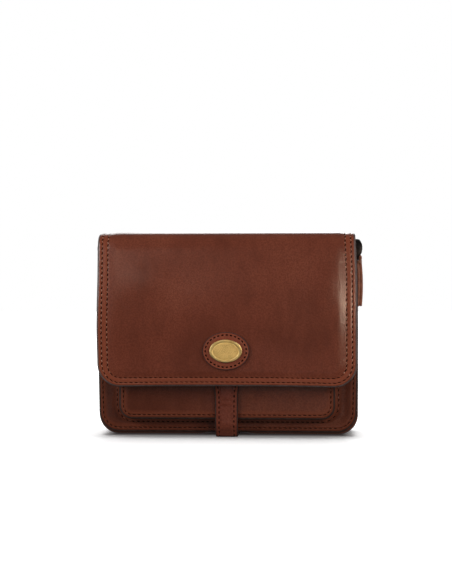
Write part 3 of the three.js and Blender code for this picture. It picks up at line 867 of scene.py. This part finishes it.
def build_body():
    """Front and back panels, each with a row of stitches round its sides and base."""
    seam = Seam(PANEL_ROW, welt=0.8, fall=(5, 12))
    for name, low, high, place, shape in (
        ("front_panel", FRONT_LOW, FRONT_HIGH, flat_place(FACE), no_shape),
        ("back_panel", BACK_LOW, BACK_HIGH, flat_place(BACK_HIGH[1], -1), back_shape),
    ):
        pattern = panel_pattern(
            high[0], low[2], high[2], BODY_CORNER, SQUARE_CORNER, PANEL_INSET, 70, 52, warp=bowed)
        build_sheet(name, "body_leather", pattern, place, PANEL_LEATHER, BODY_MATERIALS, seam, shape)
        build_stitches(name + "_stitches", [pattern.open_row(PANEL_ROW)], place, seam.under_row(shape))


def gusset_swell(x, z, depth):
    """How far the gusset's wall stands out, by its height and depth, and less over the closing tab."""
    front, rear = GUSSET_LOW[1], GUSSET_HIGH[1]
    peak = table_value(BULGE_BY_HEIGHT, z)
    beside_tab = smooth_step(np.abs(x), *TAB_DENT)
    on_base = z < FRONT_LOW[2] + 0.01
    peak = np.where(on_base, BULGE_OVER_TAB + (peak - BULGE_OVER_TAB) * beside_tab, peak)
    return peak * table_value(BULGE_ACROSS, (depth - front) / (rear - front))


def strip_section(front, rear, front_flange, rear_flange):
    """A strip's wall from front to rear, with flanges so far out from it, or in if less than 0."""
    return rounded_route(
        ((front_flange, front), 0),
        ((0, front), FOLD_RADIUS),
        ((0, rear), FOLD_RADIUS),
        ((rear_flange, rear), 0),
    )


def build_gusset():
    """The strip between the panels, with its edges folded in behind them and its wall swelling out."""
    outline = three_sides(FRONT_HIGH[0], FRONT_LOW[2], GUSSET_HIGH[2], BODY_CORNER)
    route = Route(bowed(outline.points))
    section = strip_section(GUSSET_LOW[1], GUSSET_HIGH[1], -GUSSET_FLANGE, -GUSSET_FLANGE)
    pattern = panel_pattern(
        section.length / 2, 0, route.length, SQUARE_CORNER, SQUARE_CORNER, GUSSET_INSET, 40, 170, turn=2)
    build_sheet(
        "gusset", "body_leather", pattern, strip_place(route, section, gusset_swell), GUSSET_LEATHER,
        [SHADED_BODY_HIDE, SHEEN_EDGE_PAINT, FLESH], PLAIN_EDGE, rings=GUSSET_RINGS)


def build_pocket_front():
    """Front of the box pocket, with a row of stitches round its sides and base."""
    seam = Seam(POCKET_ROW, welt=0.55, fall=(4.5, 8.5), field=0.35)
    place = flat_place(POCKET_LOW[1])
    pattern = panel_pattern(
        POCKET_HIGH[0], POCKET_LOW[2], POCKET_HIGH[2], POCKET_CORNER, SQUARE_CORNER, POCKET_INSET, 64, 34)
    build_sheet("pocket_front", "body_leather", pattern, place, PANEL_LEATHER, BODY_MATERIALS, seam)
    build_stitches("pocket_front_stitches", [pattern.open_row(POCKET_ROW)], place, seam.under_row())


def build_pocket_gusset():
    """Strip round the pocket. Its base turns out on to the front panel, pared thin, and is sewn there."""
    route = three_sides(POCKET_HIGH[0], POCKET_LOW[2], POCKET_HIGH[2], POCKET_CORNER)
    section = strip_section(
        STRIP_LOW[1], STRIP_HIGH[1] - STRIP_LEATHER, -POCKET_FRONT_FLANGE, POCKET_BASE_FLANGE)
    place = strip_place(route, section)
    edge = section.length / 2
    bend = edge - POCKET_BASE_FLANGE + FOLD_RADIUS

    def pared(flat):
        return FLANGE_PARED * smooth_step(flat[..., 0], bend, edge - 0.5)

    pattern = panel_pattern(edge, 0, route.length, STRIP_CORNER, STRIP_CORNER, STRIP_INSET, 30, 170, turn=2)
    build_sheet(
        "pocket_gusset", "body_leather", pattern, place, STRIP_LEATHER, [SHADED_BODY_HIDE, SHADED_BODY_HIDE, FLESH],
        PLAIN_EDGE, pared=pared, rings=STRIP_RINGS)
    margin = 3
    row = join(edge - (POCKET_BASE_FLANGE - FLANGE_ROW), np.linspace(margin, route.length - margin, 400))
    build_stitches("pocket_base_stitches", [row], place, lambda flat: -STRIP_LEATHER * pared(flat))


# Flap and badge

flap_corners = [((FACE + behind, height), radius) for behind, height, radius in FLAP_FOLDS]
flap_route = eased(rounded_route(*flap_corners), FLAP_EASE)
flap_place = bent_place(flap_route)


def flap_shape(flat):
    """Crown of the flap's front, with the shallow hollows and swellings of worn leather."""
    a, b = apart(flat)
    height = FLAP_CROWN * hump(1 - b / flap_route.length, *CROWN_REACH) * (1 - (a / FLAP_HALF) ** 2)
    inner = fade(np.abs(a), *(FLAP_HALF - margin for margin in SWELL_MARGIN))
    for where_a, where_b, wide_a, wide_b, rise in FLAP_SWELLS:
        height = height + inner * rise * bell(a, where_a, wide_a) * bell(b, where_b, wide_b)
    return height


def flap_outline(points):
    """The flap's outline with its front edge drawn up a little in the middle, and narrower and a little
    to the left at the fold. Its left side is drawn in towards the front edge."""
    a, b = apart(points)
    dip = FLAP_DIP * (1 - (a / FLAP_HALF) ** 2) * fade(b, *DIP_FADE)
    fold = hump(b, *FOLD_REACH)
    drawn = FLAP_DRAWN * smooth_step(-a, DRAWN_FROM, FLAP_HALF) * fade(b, *DRAWN_FADE)
    return join(a * (1 - FLAP_TAPER / FLAP_HALF * fold) - FLAP_SKEW * fold + drawn, b + dip)


def build_flap():
    """Flap: two rows of stitches all round, and a field that swells up inside them."""
    seam = Seam(
        *FLAP_ROWS, welt=0.4, roll=0.8, fall=(9.3, 18.5), depth=0.2, width=0.9, field=1.15, step=long_step)
    pattern = panel_pattern(
        FLAP_HALF, 0, flap_route.length, FLAP_CORNER, FLAP_BACK_CORNER, FLAP_INSET, 84, 110,
        warp=flap_outline, low_share=FLAP_LOW_SHARE)
    build_sheet(
        "flap", "flap_leather", pattern, flap_place, FLAP_LEATHER, [FLAP_HIDE, SHEEN_EDGE_PAINT, FLESH], seam,
        flap_shape)
    rows = [pattern.closed(distance) for distance in FLAP_ROWS]
    build_stitches("flap_stitches", rows, flap_place, seam.under_row(flap_shape), pale=True)


def on_flap(lift):
    """Places on the flap's face round the middle of the badge, raised by a lift."""
    along = np.linspace(0, 60, 1200)
    middle = along[np.argmin(np.abs(flap_route.at(along)[:, 1] - BADGE_HEIGHT))]

    def place(a, b):
        flat = join(a, b + middle)
        return place_with_height(flap_place, flat, flap_shape(flat) + lift)[0]
    return place


def build_badge_patch():
    """Oval leather patch with a ring of stitches."""
    seam = Seam(PATCH_ROW, welt=0.25, roll=1, fall=(3, 5.4), depth=0.2, width=0.6, field=0.2)
    place = on_flap(PATCH_LEATHER + BADGE_SEAT)
    size = PATCH_HALF, PATCH_HALF * PATCH_RATIO
    quarters = [oval((0, 0), *size, start, start + 90, 40) for start in (225, 315, 405, 495)]
    pattern = shaped_pattern(*quarters, PATCH_INSET, 30, 30)
    build_sheet(
        "badge_patch", "trim_leather", pattern, place, PATCH_LEATHER, [PATCH_HIDE, DARK_PAINT, FLESH], seam,
        edge=PATCH_EDGE)
    rows = [pattern.closed(PATCH_ROW)]
    build_stitches("badge_stitches", rows, place, seam.under_row(), PATCH_STITCH, ROUND_SLIT, SUNK)


def build_plaque():
    """Oval plaque with a raised rim round a stippled field."""
    count = 96
    place = on_flap(PATCH_LEATHER + BADGE_SEAT + PLAQUE_GAP)
    cosine, sine = circle(count)
    outline = PLAQUE_HALF * join(cosine, PLAQUE_RATIO * sine)
    rings, slots = [], []
    for share, height, material in PLAQUE_LEVELS:
        rings.append(place_with_height(place, outline * share, np.full(count, height))[0])
        slots += [material] * count
    build_turned("badge_plaque", "gold_metal", rings, [GOLD, GOLD_FIELD], slots[count:] + [1, 0])


# Closing tab and snap

def tab_half_width(from_top):
    """Half width of the closing tab so far down from the top of its round head."""
    half_width, half_height = TAB_HEAD
    below = np.clip((from_top - half_height) / TAB_NECK, 0, 1)
    return TAB_STRAP + (half_width - TAB_STRAP) * (0.5 + 0.5 * np.cos(math.pi * below)) ** TAB_FLARE


def build_tab():
    """Closing tab: from under the base, up over the pocket, to a wide round head behind the flap."""
    face, corner = TAB_LOW[1], TAB_FOOT_CORNER
    route = rounded_route(
        ((TAB_HIGH[1], 0), 0),
        ((face + TAB_SLANT["depth"], 0), TAB_BEND),
        ((face, TAB_SLANT["start"]), TAB_SLANT["bend"]),
        ((face, TAB_HIGH[2]), 0),
    )
    place = bent_place(route)
    middle = (0, route.length - TAB_HEAD[1])
    up = np.linspace(corner, middle[1], 200)
    side = join(tab_half_width(route.length - up), up)
    right = np.concatenate([side, oval(middle, *TAB_HEAD, 0, 45, 30)[1:]])
    top = oval(middle, *TAB_HEAD, 45, 135, 40)
    left = (right * (-1, 1))[::-1]
    bottom = np.concatenate([
        arc((corner - TAB_STRAP, corner), corner, 180, 270, 6),
        arc((TAB_STRAP - corner, corner), corner, 270, 360, 6),
    ])
    pattern = shaped_pattern(bottom, right, top, left, TAB_INSET, 18, 150)
    seam = Seam(TAB_ROW, welt=0.3, roll=1, fall=(3.6, 5), depth=0.22, width=0.6, field=0.25)

    def creased(flat):
        a, b = apart(flat)
        height = no_shape(flat)
        for level, reach, rise in TAB_CREASES:
            height = height + rise * bell(b, route.length - TAB_HIGH[2] + level, reach)
        return height * fade(np.abs(a), *CREASE_FADE)

    build_sheet(
        "closing_tab", "trim_leather", pattern, place, TAB_LEATHER, [TRIM_HIDE, DARK_PAINT, FLESH], seam,
        creased, edge=TAB_EDGE)
    rows = [pattern.closed(TAB_ROW)]
    build_stitches("tab_stitches", rows, place, seam.under_row(creased), slit=ROUND_SLIT, proud=SUNK)


def build_snap():
    """Snap behind the badge: a turned disc with a stepped rim."""
    radius = (SNAP_HIGH[0] - SNAP_LOW[0]) / 2
    depth = SNAP_HIGH[1] - SNAP_LOW[1]
    middle = (SNAP_LOW[2] + SNAP_HIGH[2]) / 2
    cosine, sine = circle(48)
    rings = []
    for share, forward in SNAP_LEVELS:
        wide = radius * share
        rings.append(join(wide * cosine, SNAP_HIGH[1] - forward * depth, middle + wide * sine))
    build_turned("snap", "snap_metal", rings, [STEEL])


# Strap loops and rings

def ring_bar(name):
    """Middle of a ring's bar, in millimetres, with x as a distance from the middle of the bag."""
    joint = next(j for j in frame["joints"] if j["child"] == "ring_" + name)
    x, y, z = np.array(joint["pos_m"]) / MM
    return abs(x), y, z


def build_loop(side, name):
    """Folded leather loop on one side's gusset, with stitches round its outer leaf."""
    bar_x, bar_y, bar_z = ring_bar(name)
    foot = LOOP_LOW[2]
    body_side = FRONT_HIGH[0] - BODY_BOW * ((foot - BODY_MIDDLE) / BODY_MIDDLE) ** 2
    foot_in = (body_side + table_value(BULGE_BY_HEIGHT, foot) + LOOP_GAP, foot)
    foot_out = (foot_in[0] + 2 * LOOP_LEATHER + LAYER_GAP, foot)
    over = arc((bar_x, bar_z), RING_WIRE + RING_CLEARANCE + LOOP_LEATHER, -LOOP_HUG, LOOP_WRAP, 60)
    outer = bowed_line(foot_out, over[0], LOOP_BOW["outside"])
    inner = bowed_line(over[-1], foot_in, LOOP_BOW["inside"])
    cut = 8
    neck = rounded_route((outer[-cut], 0), (over[0], LOOP_BEND["outside"]), (over[cut], 0)).points
    turn = rounded_route((over[-cut], 0), (over[-1], LOOP_BEND["inside"]), (inner[cut], 0)).points
    route = Route(np.concatenate([outer[:-cut], neck[:-1], over[cut:-cut], turn, inner[cut + 1 :]]))

    def place(a, b):
        x, z = apart(route.at(b))
        return join(side * x, bar_y + side * a, z)

    seam = Seam(LOOP_ROW, welt=0.1, roll=1, fall=(3, 4), depth=0.2, width=0.6, field=0.1)
    pattern = panel_pattern(
        LOOP_HALF, 0, route.length, SQUARE_CORNER, SQUARE_CORNER, LOOP_INSET, 10, 90, turn=4)
    build_sheet(
        "strap_loop_" + name, "trim_leather", pattern, place, LOOP_LEATHER, [TRIM_HIDE, BURNISHED, FLESH],
        seam, edge=LOOP_EDGE)
    reach, low = LOOP_HALF - LOOP_ROW, LOOP_ROW
    high = Route(outer).length - (bar_z - LOOP_NECK)
    row = [(-reach, low), (reach, low), (reach, high), (-reach, high), (-reach, low)]
    build_stitches(
        "strap_loop_stitches_" + name, [row], place, seam.under_row(), LOOP_STITCH, ROUND_SLIT, SUNK)


def build_tacks(side, name):
    """Short thick threads over both edges of a loop, close under its ring."""
    bar_x, bar_y, bar_z = ring_bar(name)
    share = np.linspace(-1, 1, 9)
    across = side * (bar_x + TACK["middle"] + TACK["reach"] * share)
    out = LOOP_HALF - TACK["sink"] + TACK["rise"] * (1 - share**8)
    tacks = np.array([
        join(across, bar_y + end * out, bar_z - drop) for end in (-1, 1) for drop in TACK["drops"]
    ])
    facing = np.zeros_like(tacks)
    facing[..., 1] = np.sign(tacks[..., 1] - bar_y)
    threads = tube(tacks, facing, np.full(len(share), TACK["radius"]))
    build_pile("strap_loop_tack_" + name, [(*threads, [0] * len(tacks))], [GLINT_THREAD])


def build_ring(side, name):
    """Broad D-ring that hangs in the loop by its straight bar."""
    bar_x, bar_y, bar_z = ring_bar(name)
    half, height, corner = RING_SIZE["half_width"], RING_SIZE["height"], RING_SIZE["corner"]
    bar_end = half - corner
    closed = Route(np.concatenate([
        straight((-bar_end, 0), (bar_end, 0))[:-1],
        arc((bar_end, corner), corner, -90, 0, 10)[:-1],
        oval((0, corner), half, height - corner, 0, 180, 60)[:-1],
        arc((-bar_end, corner), corner, 180, 270, 10),
    ]))
    stations, sides, near = 160, 20, 0.3
    along = np.arange(stations) / stations * closed.length
    ahead = unit(closed.at((along + near) % closed.length) - closed.at((along - near) % closed.length))
    out = join(ahead[:, 1], -ahead[:, 0])
    cosine, sine = circle(sides)
    across, up = apart(closed.at(along)[:, None] + RING_WIRE * cosine[:, None] * out[:, None])
    sideways = table_value(RING_BREADTH, up) * sine
    upright = up * math.cos(RING_LEAN) + sideways * math.sin(RING_LEAN)
    outward = sideways * math.cos(RING_LEAN) - up * math.sin(RING_LEAN)
    points = join(side * (bar_x + outward), bar_y + across, bar_z + upright)
    faces = [quad[::-side] for quad in ring_quads(stations, sides, joined=True)]
    ring = make_object("ring_" + name, points.reshape(-1, 3), faces, [DARK_METAL])
    finish_piece(ring, "dark_metal", "ring_" + name, body="ring_" + name)


# Stage

def camera_only(piece):
    """Shown to the camera, and left out of reflections and bounced light."""
    piece.visible_diffuse = False
    piece.visible_glossy = False
    piece.visible_transmission = False
    piece.visible_shadow = False


def build_floor():
    """A wide pale floor that glows a little beside and behind the bag, and more far away. The light it
    gives off is painted light that lifts the floor's shadow round the bag.
    """
    n = Nodes(bpy.data.materials.new("floor_white"))
    where = (n.add("ShaderNodeTexCoord"), "Object")
    away = n.add("ShaderNodeVectorMath", {0: where}, operation="LENGTH")
    parts = n.add("ShaderNodeSeparateXYZ", {0: where})
    middle, half = (BACK_HIGH[1] + FACE) / 2 * MM, (BACK_HIGH[1] - FACE) / 2 * MM
    aside = n.math("SUBTRACT", n.math("ABSOLUTE", (parts, 0), 0), FRONT_HIGH[0] * MM)
    behind = n.math("SUBTRACT", n.math("ABSOLUTE", n.math("SUBTRACT", (parts, 1), middle), 0), half)
    # Painted light on the floor: low under the bag, higher round and beside it, so its shadow there is lifted
    painted_light = n.spread(n.math("MAXIMUM", aside, behind), *FLOOR_PAINTED_LIGHT)
    painted_light = n.math("ADD", painted_light, n.spread(aside, *SIDE_PAINTED_LIGHT))
    painted_light = n.math("ADD", painted_light, n.spread((away, "Value"), *FAR_PAINTED_LIGHT))
    white = n.finish({
        "Base Color": (FLOOR_WHITE, FLOOR_WHITE, FLOOR_WHITE, 1), "Roughness": 0.9,
        "Specular IOR Level": 0.0, "Emission Color": (1, 1, 1, 1), "Emission Strength": painted_light,
    })
    corners = [(x * STAGE_REACH, y * STAGE_REACH, 0) for x, y in ((-1, -1), (1, -1), (1, 1), (-1, 1))]
    floor = make_object("floor", corners, [(0, 1, 2, 3)], [white])
    floor.location.z = -FLOOR_DROP * MM
    camera_only(floor)
    return floor


def build_dome():
    """A white dome over the floor."""
    white = Nodes(bpy.data.materials.new("dome_white")).finish({
        "Base Color": (0, 0, 0, 1), "Specular IOR Level": 0.0,
        "Emission Color": (1, 1, 1, 1), "Emission Strength": 1.0,
    })
    cosine, sine = circle(DOME_SIDES)
    points = []
    for rise in np.linspace(0, math.pi / 2, DOME_LEVELS + 1):
        wide, height = STAGE_REACH * math.cos(rise), STAGE_REACH * math.sin(rise) - DOME_DROP
        points.append(join(wide * cosine, wide * sine, height))
    faces = ring_quads(len(points), DOME_SIDES)
    camera_only(make_object("dome", np.concatenate(points), faces, [white]))


def build_world():
    """A dim surround, brighter towards the top."""
    n = Nodes(bpy.data.worlds.new("surround"), "ShaderNodeBackground", "ShaderNodeOutputWorld")
    parts = n.add("ShaderNodeSeparateXYZ", {0: (n.add("ShaderNodeTexCoord"), "Generated")})
    bpy.context.scene.world = n.finish({"Color": n.spread((parts, "Z"), 0, 1, WORLD_LOW, WORLD_TOP)})


def build_lights(floor):
    """Soft lights on the bag, and one light for the floor alone. The low ones make no reflections."""
    only_floor = bpy.data.collections.new("only_floor")
    only_floor.objects.link(floor)
    all_but_floor = bpy.data.collections.new("all_but_floor")
    all_but_floor.objects.link(floor)
    all_but_floor.collection_objects[0].light_linking.link_state = "EXCLUDE"
    for name, place, aim, wide, tall, power, colour in LIGHTS:
        light = bpy.data.lights.new(name, "AREA")
        light.shape = "RECTANGLE"
        light.energy = power
        light.color = colour
        light.size = wide
        light.size_y = tall
        lamp = bpy.data.objects.new(name, light)
        lamp.location = place
        lamp.rotation_mode = "QUATERNION"
        lamp.rotation_quaternion = (Vector(aim) - Vector(place)).to_track_quat("-Z", "Y")
        lamp.visible_glossy = not name.startswith("low")
        lamp.light_linking.receiver_collection = only_floor if name == "floor_light" else all_but_floor
        bpy.context.scene.collection.objects.link(lamp)


def build_camera():
    """A level camera a little to the right of the bag's front."""
    camera = bpy.data.objects.new("camera", bpy.data.cameras.new("camera"))
    camera.data.sensor_width = SENSOR
    camera.data.lens = FOCAL_PIXELS / max(PHOTO_SIZE) * SENSOR
    distance, step = CAMERA_DISTANCE * MM, CAMERA_SIDESTEP * MM
    camera.location = (
        distance * math.sin(CAMERA_AZIMUTH) + step * math.cos(CAMERA_AZIMUTH),
        FACE * MM - distance * math.cos(CAMERA_AZIMUTH) + step * math.sin(CAMERA_AZIMUTH),
        CAMERA_HEIGHT * MM,
    )
    camera.rotation_euler = (math.pi / 2, 0, CAMERA_AZIMUTH)
    bpy.context.scene.collection.objects.link(camera)
    bpy.context.scene.camera = camera


build_camera()
floor = build_floor()
build_dome()
build_world()
build_lights(floor)
bpy.context.scene.view_settings.view_transform = "Standard"
build_body()
build_gusset()
build_pocket_front()
build_pocket_gusset()
build_flap()
build_badge_patch()
build_plaque()
build_tab()
build_snap()
for side, name in ((1, "right"), (-1, "left")):
    build_loop(side, name)
    build_tacks(side, name)
    build_ring(side, name)
